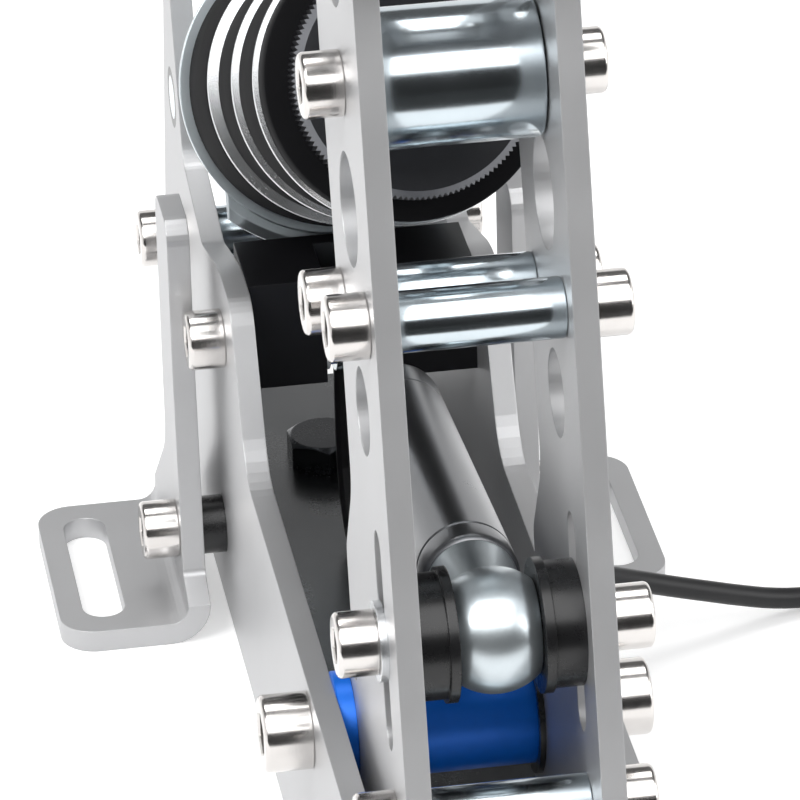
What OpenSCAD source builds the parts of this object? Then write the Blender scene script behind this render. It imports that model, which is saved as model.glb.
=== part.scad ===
// Load cell brake pedal for sim racing.
// Y runs from the front to the rear and Z up. The origin is the middle of the base on the floor.

/* [Frame] */
// Length of the side plates
frame_len = 310; // [304:1:330]
// Clear width between the side plates
frame_gap = 50; // [49:0.5:56]
// Thickness of the side plates
frame_t = 5; // [4:0.5:6]
// Height of the low front of the side plates
frame_low_h = 55; // [50:0.5:55.5]
// Height of the side plates beside the cross block
frame_high_h = 88; // [86:0.5:89]
// Top of the rear ears
ear_h = 124; // [120:1:130]
// Thickness of the floor plate
floor_t = 5; // [4:0.5:6]
// Thickness of the cross block, front to rear
block_t = 22; // [21:0.5:24]
// Height of the cross block
block_h = 25; // [23:0.5:27]

/* [Foot brackets] */
// Sheet thickness of the foot brackets
bracket_t = 5; // [4:0.5:6]
// Reach of a foot from the side plate outwards
foot_reach = 38.5; // [36:0.5:45]
// Length of a foot, front to rear
foot_len = 59; // [57:1:66]
// Height of the upright flange
flange_h = 97; // [90:1:104]
// Width of the upright flange
flange_w = 20; // [18:0.5:22]
// Length of the slot in a foot
slot_len = 46; // [36:1:48]
// Width of the slot in a foot
slot_w = 9.5; // [7:0.5:10]
// Gap between the flange and the side plate
bracket_gap = 5.5; // [3:0.5:7]

/* [Arm] */
// Rearward lean of the arm, in degrees
arm_lean = 15.2; // [13:0.1:17]
// Clear width between the arm plates
arm_gap = 33; // [32:0.5:35]
// Thickness of the arm plates
arm_t = 5; // [4:0.5:5.5]
// Height of the arm plates above the pivot
arm_len = 236; // [230:1:250]
// Front edge of the arm, ahead of the pivot
arm_front = 78; // [76:0.5:82]
// Rear edge of the arm at its top, ahead of the pivot
arm_rear = 24; // [22:0.5:28]
// Radius of the lug round the pivot
lug_r = 17; // [16:0.5:19]
// Radius of the pivot tube
pivot_tube_r = 11.4; // [10:0.1:12]
// Radius of the thick cross bar
bar_r = 13.75; // [12:0.25:15]
// Radius of the thin spacers
spacer_r = 6; // [5.5:0.25:7]
// Width of the slot for the damper screw
arm_slot_w = 8.6; // [8.4:0.1:10]
// Length of the slot for the damper screw
arm_slot_len = 44; // [36:1:46]

/* [Pedal face] */
// Width of the pedal face
face_w = 78; // [64:1:100]
// Height of the pedal face
face_h = 78; // [70:1:84]
// Thickness of the pedal face
face_t = 3; // [2:0.5:4]

/* [Rubber stack] */
// Radius of the rubber discs
disc_r = 29.2; // [26:0.2:30]
// Radius of the rubber disc at the rear
last_disc_r = 31.4; // [30:0.2:32]
// Thickness of one rubber disc
disc_t = 37.2; // [30:0.2:37.8]
// Thickness of a steel washer
washer_t = 1.5; // [1:0.1:2]
// Overhang of the steel washers over the rubber
washer_lip = 1; // [0.5:0.1:1.5]
// Thickness of the front pressure plate
plate_t = 11; // [9:0.5:12]
// Radius of the preload dial
dial_r = 24.8; // [22:0.1:27]
// Thickness of the preload dial
dial_t = 10.9; // [8:0.1:11.5]
// Radius of the push rod
rod_r = 6; // [5:0.25:6.5]
// Distance from the cross bar to the front of the preload dial
dial_s = 50; // [46:0.5:52]
// Radius of the cup behind the rubber
cup_r = 33; // [32:0.5:34]
// Thickness of the cup's front flange
cup_flange_t = 2; // [1.5:0.1:3]
// Radius of the flat-sided holder behind the flange
holder_r = 37; // [34:0.5:38]
// Width of the holder over its flat sides
holder_w = 48.6; // [44:0.2:49]
// Radius of the load cell
cell_r = 20; // [16:0.5:22]
// Thickness of the load cell
cell_t = 12; // [10:0.5:13]

/* [Damper] */
// Radius of the damper body
damper_r = 10; // [9.5:0.25:11]
// Wall of the damper body
damper_wall = 1.8; // [1.5:0.1:2.5]
// Start of the damper body behind its front eye
damper_start = 24; // [20:0.5:28]
// Length of the damper body without its cap
damper_len = 89; // [85:1:95]
// Length of the end cap
cap_len = 12.5; // [10:0.5:14]
// Radius of the damper rod
damper_rod_r = 4; // [3:0.25:5]
// Radius of the damper's front eye
eye_r = 12.45; // [11.5:0.05:13]
// Width of the damper's front eye
eye_w = 16.4; // [14:0.2:18]
// Radius of the damper's rear eye
rear_eye_r = 9.5; // [8:0.25:10]
// Width of the damper's rear eye
rear_eye_w = 12; // [10:0.5:13]

/* [Screws] */
// Radius of the cap screws' shanks
screw_r = 4; // [3.5:0.1:4]
// Radius of the cap screws' heads
head_r = 6.5; // [6:0.1:7]
// Height of the cap screws' heads
head_h = 8; // [6:0.25:9]
// Radius of the pivot screws' heads
pivot_head_r = 8; // [7:0.1:9]
// Height of the pivot screws' heads
pivot_head_h = 10; // [8:0.25:11]

/* [Cable] */
// Diameter of the cable
cable_d = 4.8; // [4.4:0.1:5]

/* [Hidden] */

// Clearances: moving fit, loose fit of a screw, space in an eye that turns with some play,
// and the space between soft or moving faces
run_gap = 0.05;
screw_gap = 0.1;
eye_play = 0.25;
face_gap = 0.2;

// Widths across the pedal, from the middle plane
frame_in = frame_gap / 2;
frame_out = frame_in + frame_t;
arm_in = arm_gap / 2;
arm_out = arm_in + arm_t;
flange_in = frame_out + bracket_gap;
flange_out = flange_in + bracket_t;
foot_out = frame_out + foot_reach;

// Places in the side view, from the front end of the frame and the floor
pivot_y = 83;
pivot_z = 45;
block_y = 206;
block_z = 72.5;
low_screw_y = 218;
low_screw_z = 20;
ear_screw_y = 281;
ear_screw_z = 61;
trunnion_y = 284.5;
trunnion_z = 94.3;
nose_y = 35;
nose_z = frame_low_h - 13;
ramp_y = 173;
ramp_top_y = 191;
dip_y = 237;
dip_z = frame_high_h - 8;
ear_front_y = 268;
ear_front_z = frame_high_h - 2;
ear_tip_y = 286.5;
foot_y = 201;
slot_inset = 10.2;
flange_y = 213;
foot_r = 8;
bend_r = 9;
floor_z = 2;
floor_front_y = 12;
floor_rear_y = frame_len - 1;
floor_bolt_y = 268;
floor_bolt_af = 16;
floor_bolt_h = 6.4;

// Places on the arm, from the pivot: ahead of it is negative, and up along the arm positive
bar_at = [-53, 141.6];
rear_spacer_at = [-33, 95.3];
front_spacer_at = [-66.6, 96.9];
low_spacer_at = [-62, -3];
damper_at = [-60.3, 33.1];
hole_top_at = [-51.5, 167];
hole_mid_at = [-51.5, 116.6];
hole_low_at = [-52.5, 77];
hole_top_r = 11;
hole_mid_r = 11.3;
hole_low_r = 8.8;
face_z = arm_len - 31;
face_screw_x = 20;
face_screw_z = 14;
bracket_web_w = 56;
bracket_web_h = 50;
bracket_web_t = 4;
cheek_t = 4;
cheek_depth = 30;
cheek_screw_y = -63;
cheek_screw_z = 15;
face_screw_r = 3;
face_head_r = 5.25;
face_head_h = 3.3;

// Where the arm's joints lie in the side view
function on_arm(p) = [
    pivot_y + p[0] * cos(arm_lean) + p[1] * sin(arm_lean),
    pivot_z - p[0] * sin(arm_lean) + p[1] * cos(arm_lean)
];
bar_yz = on_arm(bar_at);
damper_yz = on_arm(damper_at);
stack_run = trunnion_y - bar_yz[0];
stack_drop = bar_yz[1] - trunnion_z;
stack_len = norm([stack_run, stack_drop]);
stack_slope = atan2(stack_drop, stack_run);
damper_run = block_y - damper_yz[0];
damper_drop = damper_yz[1] - block_z;
damper_span = norm([damper_run, damper_drop]);
damper_slope = atan2(damper_drop, damper_run);

// Rubber stack, along its axis from the cross bar
plate_s = dial_s + dial_t + 0.1;
front_washer_s = plate_s + plate_t;
soft_gap = 0.3;
disc_pitch = washer_t + disc_t + 2 * soft_gap;
disc_1_s = front_washer_s + washer_t + soft_gap;
washer_1_s = front_washer_s + disc_pitch;
disc_2_s = washer_1_s + washer_t + soft_gap;
washer_2_s = front_washer_s + 2 * disc_pitch;
disc_3_s = washer_2_s + washer_t + soft_gap;
cup_s = front_washer_s + 3 * disc_pitch;
cup_floor_t = 7;
cup_round = 2;
last_washer_r = last_disc_r - 0.4;
cell_s = cup_s + cup_floor_t;
trunnion_block_s = cell_s + cell_t;
trunnion_block_end = stack_len + 12;
trunnion_block_w = 30;
trunnion_block_h = 28;
trunnion_r = 5;
trunnion_bush_r = 7;
trunnion_flange_r = 9;
trunnion_flange_t = 1;
collar_r = 8;
rod_start = 5;
rod_washer_t = 2;
rod_washer_r = 12;
nut_h = 10;
nut_af = 18;
rod_end = trunnion_block_end + rod_washer_t + nut_h + 1;
disc_bore_r = rod_r + 0.6;

// Damper, along its axis from its front eye
eye_neck_r = 7.2;
eye_collar_r = damper_r - 0.8;
body_end = damper_start + damper_len;
cap_end = body_end + cap_len;
piston_t = 8;
piston_s = damper_start + 62;
damper_bush_r = 12.5;
damper_bush_flange_r = 13.35;
damper_bush_flange_t = 2;
damper_washer_t = 1.6;
damper_washer_r = 8;
rear_bush_t = 1.2;
rear_washer_t = 0.8;
rear_side_gap = 0.1;
notch_w = rear_eye_w + 2 * (rear_bush_t + rear_washer_t + rear_side_gap);

// Pivot
pivot_screw_r = 5;
bush_t = 1.1;
bush_flange_t = 1.2;
bush_flange_r = pivot_tube_r + 2.2;
bush_r = pivot_tube_r + run_gap + bush_t;

// Screws
socket_af = 6;
socket_depth = 4.5;
pivot_socket_af = 8;
screw_in = 14;
washer_under_t = 1.5;
washer_under_r = 8;
ring_r = 6.5;

// Cable, with its route from the gland to the coil in the frame's own side view
gland_y = 171;
gland_z = 24;
gland_hex_af = 15;
gland_hex_t = 5;
gland_nose_r = 6.5;
gland_nose_l = 6;
gland_tail_l = 5;
gland_thread_r = 5.5;
cable_r = cable_d / 2;
coil_lift = 1;
coil_pitch = cable_d + 1.2;
coil_x = 158;
coil_y = 220;
coil_in_r = 24;
coil_low_turns = 2;
coil_high_turns = 1.75;
coil_sides = 6;
coil_rings = 24;
tie_t = 0.8;
tie_w = 9;
tie_gap = 0.2;
plug_w = 9.6;
plug_h = 6.6;
plug_l = 14;
boot_w = 11;
boot_h = 8;
boot_l = 16;
gland_end_x = frame_out + gland_hex_t + gland_nose_l;
cable_sides = 8;
lead_r = 1.75;
lead_gap = 0.6;
route = [
    [46, 172.5, 23], [51, 174.8, 20.6], [56, 177, 18], [64, 179.5, 14.4], [73, 182, 10.7],
    [81, 184.4, 7.4], [89, 186.4, 4.7], [97, 188, 3.2], [107, 189.3, 2.7], [118, 189.6, 2.7],
    [130, 188.6, 2.9], [141, 186.4, 3.2], [148, 184.7, 3.4]
];
lead_route = [
    [14, gland_y, gland_z], [8, 173, 23.5], [4, 178, 21.5], [2, 184, 18], [1, 191, 14],
    [0, 199, 10.5], [0, 208, 9.2], [0, 218, 9], [0, 226, 10.5], [0, 232, 15], [0, 235, 22],
    [0, 236, 30], [0, 236.1, 39], [0, 236.2, 49], [0, 236.3, 59], [0, 236.4, 68]
];
coil_start_r = coil_in_r + coil_pitch * coil_low_turns;
coil_end_r = coil_in_r + coil_pitch * coil_high_turns;
coil_low_z = coil_lift + cable_r;
coil_high_z = coil_low_z + coil_pitch;
tail = [[0, 12, 0], [0.2, 20, -0.8], [0.6, 30, -3], [1, 40, -5], [1.2, 50, -5.4]];
tail_end = [coil_x + coil_end_r + tail[4][0], coil_y + tail[4][1], coil_high_z + tail[4][2]];

// Outline helpers: rounded() takes points with a radius each and puts arcs at the corners
function unit(v) = v / norm(v);
function swing(a) = a > 180 ? a - 360 : a < -180 ? a + 360 : a;
function corner(a, b, c, r, n) =
    let(
        u = unit([a[0] - b[0], a[1] - b[1]]),
        v = unit([c[0] - b[0], c[1] - b[1]]),
        half = acos(u * v) / 2,
        p = [b[0], b[1]] + u * r / tan(half),
        q = [b[0], b[1]] + v * r / tan(half),
        m = [b[0], b[1]] + unit(u + v) * r / sin(half),
        from = atan2(p[1] - m[1], p[0] - m[0]),
        turn = swing(atan2(q[1] - m[1], q[0] - m[0]) - from)
    )
    [for (i = [0:n]) m + r * [cos(from + turn * i / n), sin(from + turn * i / n)]];
function rounded(pts, n = 6) = [
    for (i = [0:len(pts) - 1])
        let(a = pts[(i + len(pts) - 1) % len(pts)], b = pts[i], c = pts[(i + 1) % len(pts)])
        each b[2] > 0 ? corner(a, b, c, b[2], n) : [[b[0], b[1]]]
];

// Sweep helpers: a ring of points square to the path at each of its points
function run_dir(p, i) =
    unit(p[min(i + 1, len(p) - 1)] - p[max(i - 1, 0)]);
function ring(c, d, r, n) =
    let(side = unit(cross(d, [0, 0, 1])), up = cross(side, d))
    [for (k = [0:n - 1]) c + r * (cos(360 * (k + 0.5) / n) * side + sin(360 * (k + 0.5) / n) * up)];
function tube_points(p, r, n, first, last) = [
    for (i = [0:len(p) - 1])
        each ring(p[i], i == 0 ? first : i == len(p) - 1 ? last : run_dir(p, i), r, n)
];
function tube_faces(m, n) = concat(
    [for (k = [1:n - 2]) [0, k, k + 1]],
    [for (k = [1:n - 2]) [(m - 1) * n, (m - 1) * n + k + 1, (m - 1) * n + k]],
    [for (i = [0:m - 2]) for (k = [0:n - 1]) [i * n + k, (i + 1) * n + k, (i + 1) * n + (k + 1) % n]],
    [for (i = [0:m - 2]) for (k = [0:n - 1]) [i * n + k, (i + 1) * n + (k + 1) % n, i * n + (k + 1) % n]]
);
module tube(p, r, n, first, last) {
    polyhedron(points = tube_points(p, r, n, first, last), faces = tube_faces(len(p), n));
}

// The coil winds in on the floor, climbs while it turns back, and winds out on top
function coil_at(turn) =
    let(
        high = coil_low_turns + 0.5,
        r = turn < coil_low_turns ? coil_start_r - coil_pitch * turn
            : turn < high ? coil_in_r : coil_in_r + coil_pitch * (turn - high),
        climb = min(max((turn - coil_low_turns) / 0.5, 0), 1),
        z = coil_low_z + coil_pitch * climb * climb * (3 - 2 * climb),
        a = -90 + 360 * turn
    )
    [coil_x + r * cos(a), coil_y + r * sin(a), z];
coil_turns = coil_low_turns + 0.5 + coil_high_turns;
coil_steps = round(coil_turns * coil_rings);
coil_first = coil_at(0);
coil_last = coil_at(coil_turns);
coil_enter = [1, 0, 0];
coil_leave = [0, 1, 0];
coil_path = concat(
    [coil_first - coil_enter * cable_d],
    [for (i = [0:coil_steps]) coil_at(coil_turns * i / coil_steps)],
    [coil_last + coil_leave * cable_d]
);
coil_far = 8;
coil_gap = min([
    for (i = [0:len(coil_path) - 1])
        for (j = [i + coil_far:1:len(coil_path) - 1]) norm(coil_path[i] - coil_path[j])
]) - cable_d;
echo(coil_gap = coil_gap);
cable_path = concat([[gland_end_x, gland_y, gland_z]], route, [coil_path[0]]);
tail_path = concat(
    [coil_path[len(coil_path) - 1]],
    [for (t = tail) [coil_x + coil_end_r + t[0], coil_y + t[1], coil_high_z + t[2]]]
);
lead_last = [0, sin(stack_slope), cos(stack_slope)];
lead_end = [
    0,
    bar_yz[0] + (cell_s + cell_t / 2) * cos(stack_slope),
    bar_yz[1] - (cell_s + cell_t / 2) * sin(stack_slope)
] - (cell_r + lead_gap) * lead_last;
lead_path = concat(
    [[frame_in - gland_tail_l, gland_y, gland_z]], lead_route,
    [lead_end - 4 * lead_last, lead_end]
);
function path_len(p) = len(p) < 2 ? 0 : [for (i = 1, s = norm(p[1] - p[0]); i < len(p);
    i = i + 1, s = s + (i < len(p) ? norm(p[i] - p[i - 1]) : 0)) s][len(p) - 2];
echo(cable_length = path_len(cable_path) + path_len(coil_path) + path_len(tail_path));

// Everything is drawn with Y from the frame's front end, and moved to the origin here
module in_place() {
    translate([0, -frame_len / 2, 0]) children();
}
module arm_place() {
    in_place() translate([0, pivot_y, pivot_z]) rotate([-arm_lean, 0, 0]) children();
}
module stack_place() {
    in_place() translate([0, bar_yz[0], bar_yz[1]]) rotate([-stack_slope, 0, 0]) children();
}
module damper_place() {
    in_place() translate([0, damper_yz[0], damper_yz[1]]) rotate([-damper_slope, 0, 0]) children();
}

// Sheet in the side view, from x0 outwards to x0 + t
module sheet(x0, t) {
    translate([x0, 0, 0]) rotate([90, 0, 90]) linear_extrude(t) children();
}
module both_sides() {
    children();
    mirror([1, 0, 0]) children();
}
// Round bar across the pedal, from x0 to x1
module across(x0, x1, r, y = 0, z = 0) {
    translate([x0, y, z]) rotate([0, 90, 0]) cylinder(h = x1 - x0, r = r, $fn = 64);
}
module across_tube(x0, x1, r, bore, y = 0, z = 0) {
    difference() {
        across(x0, x1, r, y, z);
        across(x0 - 1, x1 + 1, bore, y, z);
    }
}
// Round bar along the stack or the damper, from s0 to s1
module along(s0, s1, r) {
    translate([0, s0, 0]) rotate([-90, 0, 0]) cylinder(h = s1 - s0, r = r, $fn = 96);
}
module along_ring(s0, s1, r, bore) {
    difference() {
        along(s0, s1, r);
        along(s0 - 1, s1 + 1, bore);
    }
}
// Cap screw seated at x on the right side, with its shank towards the middle
module cap_screw(x, y, z, reach, r, hr, hh, af, depth) {
    edge = 0.8;
    difference() {
        union() {
            across(x, x + hh - edge, hr, y, z);
            translate([x + hh - edge, y, z]) rotate([0, 90, 0])
                cylinder(h = edge, r1 = hr, r2 = hr - edge, $fn = 64);
        }
        translate([x + hh - depth, y, z]) rotate([0, 90, 0])
            cylinder(h = depth + 1, r = af / sqrt(3), $fn = 6);
    }
    across(x - reach, x, r, y, z);
}
module frame_screw(x, y, z, reach) {
    cap_screw(x, y, z, reach, screw_r, head_r, head_h, socket_af, socket_depth);
}

// Side plates and what joins them
module side_outline() {
    polygon(rounded([
        [0, 0, 4], [0, nose_z, 10], [nose_y, frame_low_h, 12], [ramp_y, frame_low_h, 14],
        [ramp_top_y, frame_high_h, 8], [dip_y - 28, frame_high_h, 40], [dip_y, dip_z, 6],
        [ear_front_y, ear_front_z, 6], [ear_tip_y - 5, ear_h, 5], [ear_tip_y + 5, ear_h, 5],
        [frame_len, 48, 14], [frame_len, 0, 4]
    ]));
}
module side_plate() {
    sheet(frame_in, frame_t) difference() {
        side_outline();
        translate([pivot_y, pivot_z]) circle(r = pivot_screw_r + screw_gap, $fn = 64);
        translate([block_y, block_z]) circle(r = screw_r + screw_gap, $fn = 64);
        translate([low_screw_y, low_screw_z]) circle(r = screw_r + screw_gap, $fn = 64);
        translate([ear_screw_y, ear_screw_z]) circle(r = screw_r + screw_gap, $fn = 64);
        translate([trunnion_y, trunnion_z]) circle(r = trunnion_bush_r, $fn = 64);
        children();
    }
}
module side_plate_left() {
    color([0.72, 0.71, 0.7]) in_place() mirror([1, 0, 0]) side_plate();
}
module side_plate_right() {
    color([0.72, 0.71, 0.7]) in_place() side_plate()
        translate([gland_y, gland_z]) circle(r = gland_thread_r + screw_gap, $fn = 64);
}
module floor_plate() {
    color([0.3, 0.3, 0.32]) in_place() difference() {
        translate([-frame_in, floor_front_y, floor_z])
            cube([frame_gap, floor_rear_y - floor_front_y, floor_t]);
        translate([0, floor_bolt_y, 0])
            cylinder(h = floor_z + floor_t + 1, r = screw_r + screw_gap, $fn = 64);
    }
}
module floor_bolt() {
    top = floor_z + floor_t;
    color([0.2, 0.2, 0.2]) in_place() translate([0, floor_bolt_y, 0]) {
        translate([0, 0, top]) rotate([0, 0, 30])
            cylinder(h = floor_bolt_h, r = floor_bolt_af / sqrt(3), $fn = 6);
        translate([0, 0, 0.4]) cylinder(h = top - 0.4, r = screw_r, $fn = 64);
    }
}
module cross_block() {
    color([0.07, 0.07, 0.08]) in_place() difference() {
        translate([-frame_in, block_y - block_t / 3, block_z - block_h * 0.38])
            cube([frame_gap, block_t, block_h]);
        translate([-notch_w / 2, block_y - block_t, block_z - block_h])
            cube([notch_w, block_t + rear_eye_r + 1, 2 * block_h]);
        across(-frame_out, frame_out, screw_r + screw_gap, block_y, block_z);
    }
}
module frame_spacer() {
    color([0.75, 0.78, 0.82]) in_place()
        across_tube(-frame_in, frame_in, spacer_r, screw_r + screw_gap, ear_screw_y, ear_screw_z);
}
module frame_screws() {
    block_reach = frame_out - face_gap;
    color([0.75, 0.74, 0.72]) in_place() both_sides() {
        frame_screw(frame_out, block_y, block_z, block_reach);
        frame_screw(flange_out, low_screw_y, low_screw_z, flange_out - frame_in - face_gap);
        frame_screw(frame_out + washer_under_t, ear_screw_y, ear_screw_z, frame_t + screw_in);
    }
}
module screw_washers() {
    color([0.75, 0.74, 0.72]) in_place() both_sides()
        across_tube(frame_out, frame_out + washer_under_t, washer_under_r,
            screw_r + screw_gap, ear_screw_y, ear_screw_z);
}

// Foot brackets: a bent sheet cut to its outline as seen from the side
module bracket_profile() {
    polygon(rounded([
        [flange_in, 0, bend_r], [foot_out, 0, 0], [foot_out, bracket_t, 0],
        [flange_out, bracket_t, bend_r - bracket_t], [flange_out, flange_h, 0],
        [flange_in, flange_h, 0]
    ]));
}
module bracket_outline() {
    polygon(rounded([
        [foot_y, 0, 0], [foot_y, bend_r, 0], [foot_y + 8, bend_r + 4, 2],
        [flange_y, 60, 30], [flange_y, flange_h, 5],
        [flange_y + flange_w, flange_h, 5], [flange_y + flange_w, 34, 14],
        [foot_y + foot_len, bend_r + 2, 0], [foot_y + foot_len, 0, 0]
    ]));
}
module slot_end(y) {
    translate([foot_out - slot_inset, foot_y + (foot_len - slot_len) / 2 + y]) circle(r = slot_w / 2, $fn = 32);
}
module foot_bracket() {
    difference() {
        intersection() {
            translate([0, foot_y + foot_len, 0]) rotate([90, 0, 0])
                linear_extrude(foot_len) bracket_profile();
            sheet(flange_in - 1, foot_reach) bracket_outline();
        }
        for (side = [0, 1])
            translate([foot_out, foot_y + side * foot_len, -1]) mirror([0, side, 0])
                linear_extrude(bracket_t + 2) difference() {
                    translate([-foot_r, -1]) square([foot_r + 1, foot_r + 1]);
                    translate([-foot_r, foot_r]) circle(r = foot_r, $fn = 48);
                }
        translate([0, 0, -1]) linear_extrude(bracket_t + 2) {
            slot_end(slot_w / 2);
            slot_end(slot_len - slot_w / 2);
            translate([
                foot_out - slot_inset - slot_w / 2,
                foot_y + (foot_len - slot_len + slot_w) / 2
            ])
                square([slot_w, slot_len - slot_w]);
        }
        across(flange_in - 1, flange_out + 1, screw_r + screw_gap, low_screw_y, low_screw_z);
    }
}
module foot_bracket_left() {
    color([0.74, 0.73, 0.72]) in_place() mirror([1, 0, 0]) foot_bracket();
}
module foot_bracket_right() {
    color([0.74, 0.73, 0.72]) in_place() foot_bracket();
}
module bracket_rings() {
    color([0.05, 0.05, 0.05]) in_place() both_sides()
        across_tube(frame_out, flange_in, ring_r, screw_r + screw_gap, low_screw_y, low_screw_z);
}

// Arm pivot
module pivot_tube() {
    color([0.02, 0.25, 0.85]) in_place()
        across_tube(-frame_in, frame_in, pivot_tube_r, pivot_screw_r + screw_gap,
            pivot_y, pivot_z);
}
module pivot_screws() {
    color([0.75, 0.74, 0.72]) in_place() both_sides()
        cap_screw(frame_out, pivot_y, pivot_z, frame_t + screw_in, pivot_screw_r,
            pivot_head_r, pivot_head_h, pivot_socket_af, socket_depth);
}
module pivot_bushes() {
    color([0.05, 0.05, 0.05]) arm_place() both_sides() {
        across_tube(arm_in, arm_out, bush_r, pivot_tube_r + run_gap);
        across_tube(arm_in - bush_flange_t, arm_in, bush_flange_r, pivot_tube_r + run_gap);
    }
}

// Arm
module arm_outline() {
    polygon(rounded([
        [-arm_front, -20, 12], [-4, -lug_r, 0], [0, 0, 0], [-6, 13.5, 0], [-lug_r, 12.5, 3],
        [-12.5, 28, 5], [-13, 41, 6], [-27.5, 56, 14], [-27.5, 80, 40], [-arm_rear, 140, 60],
        [-arm_rear, arm_len - 38, 14], [-arm_rear - 14, arm_len, 8], [-arm_front, arm_len, 8]
    ]));
    circle(r = lug_r, $fn = 96);
}
module screw_hole(p) {
    translate(p) circle(r = screw_r + screw_gap, $fn = 64);
}
module arm_plate() {
    sheet(arm_in, arm_t) difference() {
        arm_outline();
        circle(r = bush_r, $fn = 96);
        screw_hole(bar_at);
        screw_hole(rear_spacer_at);
        screw_hole(front_spacer_at);
        screw_hole(low_spacer_at);
        screw_hole([cheek_screw_y, face_z - cheek_screw_z]);
        screw_hole([cheek_screw_y, face_z + cheek_screw_z]);
        translate(hole_top_at) circle(r = hole_top_r, $fn = 64);
        translate(hole_mid_at) circle(r = hole_mid_r, $fn = 64);
        translate(hole_low_at) circle(r = hole_low_r, $fn = 64);
        translate(damper_at) {
            half = (arm_slot_len - arm_slot_w) / 2;
            translate([0, -half]) circle(r = arm_slot_w / 2, $fn = 48);
            translate([0, half]) circle(r = arm_slot_w / 2, $fn = 48);
            translate([-arm_slot_w / 2, -half]) square([arm_slot_w, 2 * half]);
        }
    }
}
module arm_plate_left() {
    color([0.74, 0.73, 0.72]) arm_place() mirror([1, 0, 0]) arm_plate();
}
module arm_plate_right() {
    color([0.74, 0.73, 0.72]) arm_place() arm_plate();
}
module arm_spacers() {
    color([0.72, 0.76, 0.8]) arm_place()
        for (p = [rear_spacer_at, front_spacer_at, low_spacer_at])
            across_tube(-arm_in, arm_in, spacer_r, screw_r + screw_gap, p[0], p[1]);
}
module arm_screws() {
    color([0.78, 0.77, 0.75]) arm_place() both_sides() {
        for (p = [rear_spacer_at, front_spacer_at, low_spacer_at, bar_at])
            frame_screw(arm_out, p[0], p[1], arm_t + screw_in - 2);
        for (side = [-1, 1])
            frame_screw(arm_out, cheek_screw_y, face_z + side * cheek_screw_z, arm_t + cheek_t + 2);
    }
}

// Pedal face and its bracket, which ends in two cheeks between the arm plates
module face_bracket() {
    color([0.7, 0.7, 0.7]) arm_place() difference() {
        union() {
            translate([-bracket_web_w / 2, -arm_front - bracket_web_t, face_z - bracket_web_h / 2])
                cube([bracket_web_w, bracket_web_t, bracket_web_h]);
            both_sides()
                translate([arm_in - cheek_t, -arm_front, face_z - bracket_web_h / 2])
                    cube([cheek_t, cheek_depth, bracket_web_h]);
        }
        for (side = [-1, 1])
            across(-arm_in - 1, arm_in + 1, screw_r + screw_gap, cheek_screw_y,
                face_z + side * cheek_screw_z);
        face_screw_places() translate([0, -arm_front - face_t - bracket_web_t - 1, 0])
            rotate([-90, 0, 0])
                cylinder(h = face_t + bracket_web_t + 2, r = face_screw_r + screw_gap, $fn = 48);
    }
}
module face_screw_places() {
    for (x = [-1, 1], z = [-1, 1])
        translate([x * face_screw_x, 0, face_z + z * face_screw_z]) children();
}
module pedal_face() {
    back = -arm_front - bracket_web_t;
    color([0.76, 0.76, 0.76]) arm_place() difference() {
        translate([0, back, 0]) rotate([90, 0, 0]) linear_extrude(face_t) polygon(rounded([
            [-face_w / 2, face_z - face_h / 2, 8], [face_w / 2, face_z - face_h / 2, 8],
            [face_w / 2, face_z + face_h / 2, 8], [-face_w / 2, face_z + face_h / 2, 8]
        ]));
        face_screw_places() translate([0, back - face_t - 1, 0]) rotate([-90, 0, 0])
            cylinder(h = face_t + 2, r = face_screw_r + screw_gap, $fn = 48);
    }
}
module face_screws() {
    front = -arm_front - bracket_web_t - face_t;
    reach = face_t + bracket_web_t - face_gap;
    color([0.8, 0.8, 0.8]) arm_place() face_screw_places() {
        translate([0, front, 0]) rotate([90, 0, 0]) difference() {
            cylinder(h = face_head_h, r1 = face_head_r, r2 = face_head_r - 1.2, $fn = 48);
            translate([0, 0, 1]) cylinder(h = face_head_h, r = 2.3, $fn = 6);
        }
        translate([0, front, 0]) rotate([-90, 0, 0]) cylinder(h = reach, r = face_screw_r, $fn = 48);
    }
}

// Cross bar, push rod, dial and the rubber stack
module cross_bar() {
    color([0.72, 0.76, 0.8]) stack_place() difference() {
        across(-arm_in + face_gap, arm_in - face_gap, bar_r);
        across(-arm_in - 1, arm_in + 1, screw_r + eye_play);
        along(rod_start, bar_r + 1, rod_r);
    }
}
module push_rod() {
    color([0.7, 0.7, 0.72]) stack_place() along(rod_start, rod_end, rod_r);
}
module preload_dial() {
    color([0.04, 0.04, 0.045]) stack_place()
        along_ring(dial_s, dial_s + dial_t, dial_r, rod_r + run_gap);
}
module pressure_plate() {
    color([0.05, 0.05, 0.055]) stack_place()
        along_ring(plate_s, plate_s + plate_t, disc_r, rod_r);
}
module steel_washer(s, r, bore) {
    color([0.78, 0.78, 0.78]) stack_place() along_ring(s, s + washer_t, r, bore);
}
module front_washer() {
    steel_washer(front_washer_s, disc_r + washer_lip, rod_r);
}
module middle_washer_1() {
    steel_washer(washer_1_s, disc_r + washer_lip, rod_r + run_gap);
}
module middle_washer_2() {
    steel_washer(washer_2_s, last_washer_r, rod_r + run_gap);
}
module rubber_disc(s, r) {
    color([0.03, 0.03, 0.03]) stack_place() along_ring(s, s + disc_t, r, disc_bore_r);
}
module rubber_disc_1() {
    rubber_disc(disc_1_s, disc_r);
}
module rubber_disc_2() {
    rubber_disc(disc_2_s, disc_r);
}
module rubber_disc_3() {
    rubber_disc(disc_3_s, last_disc_r);
}
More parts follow.
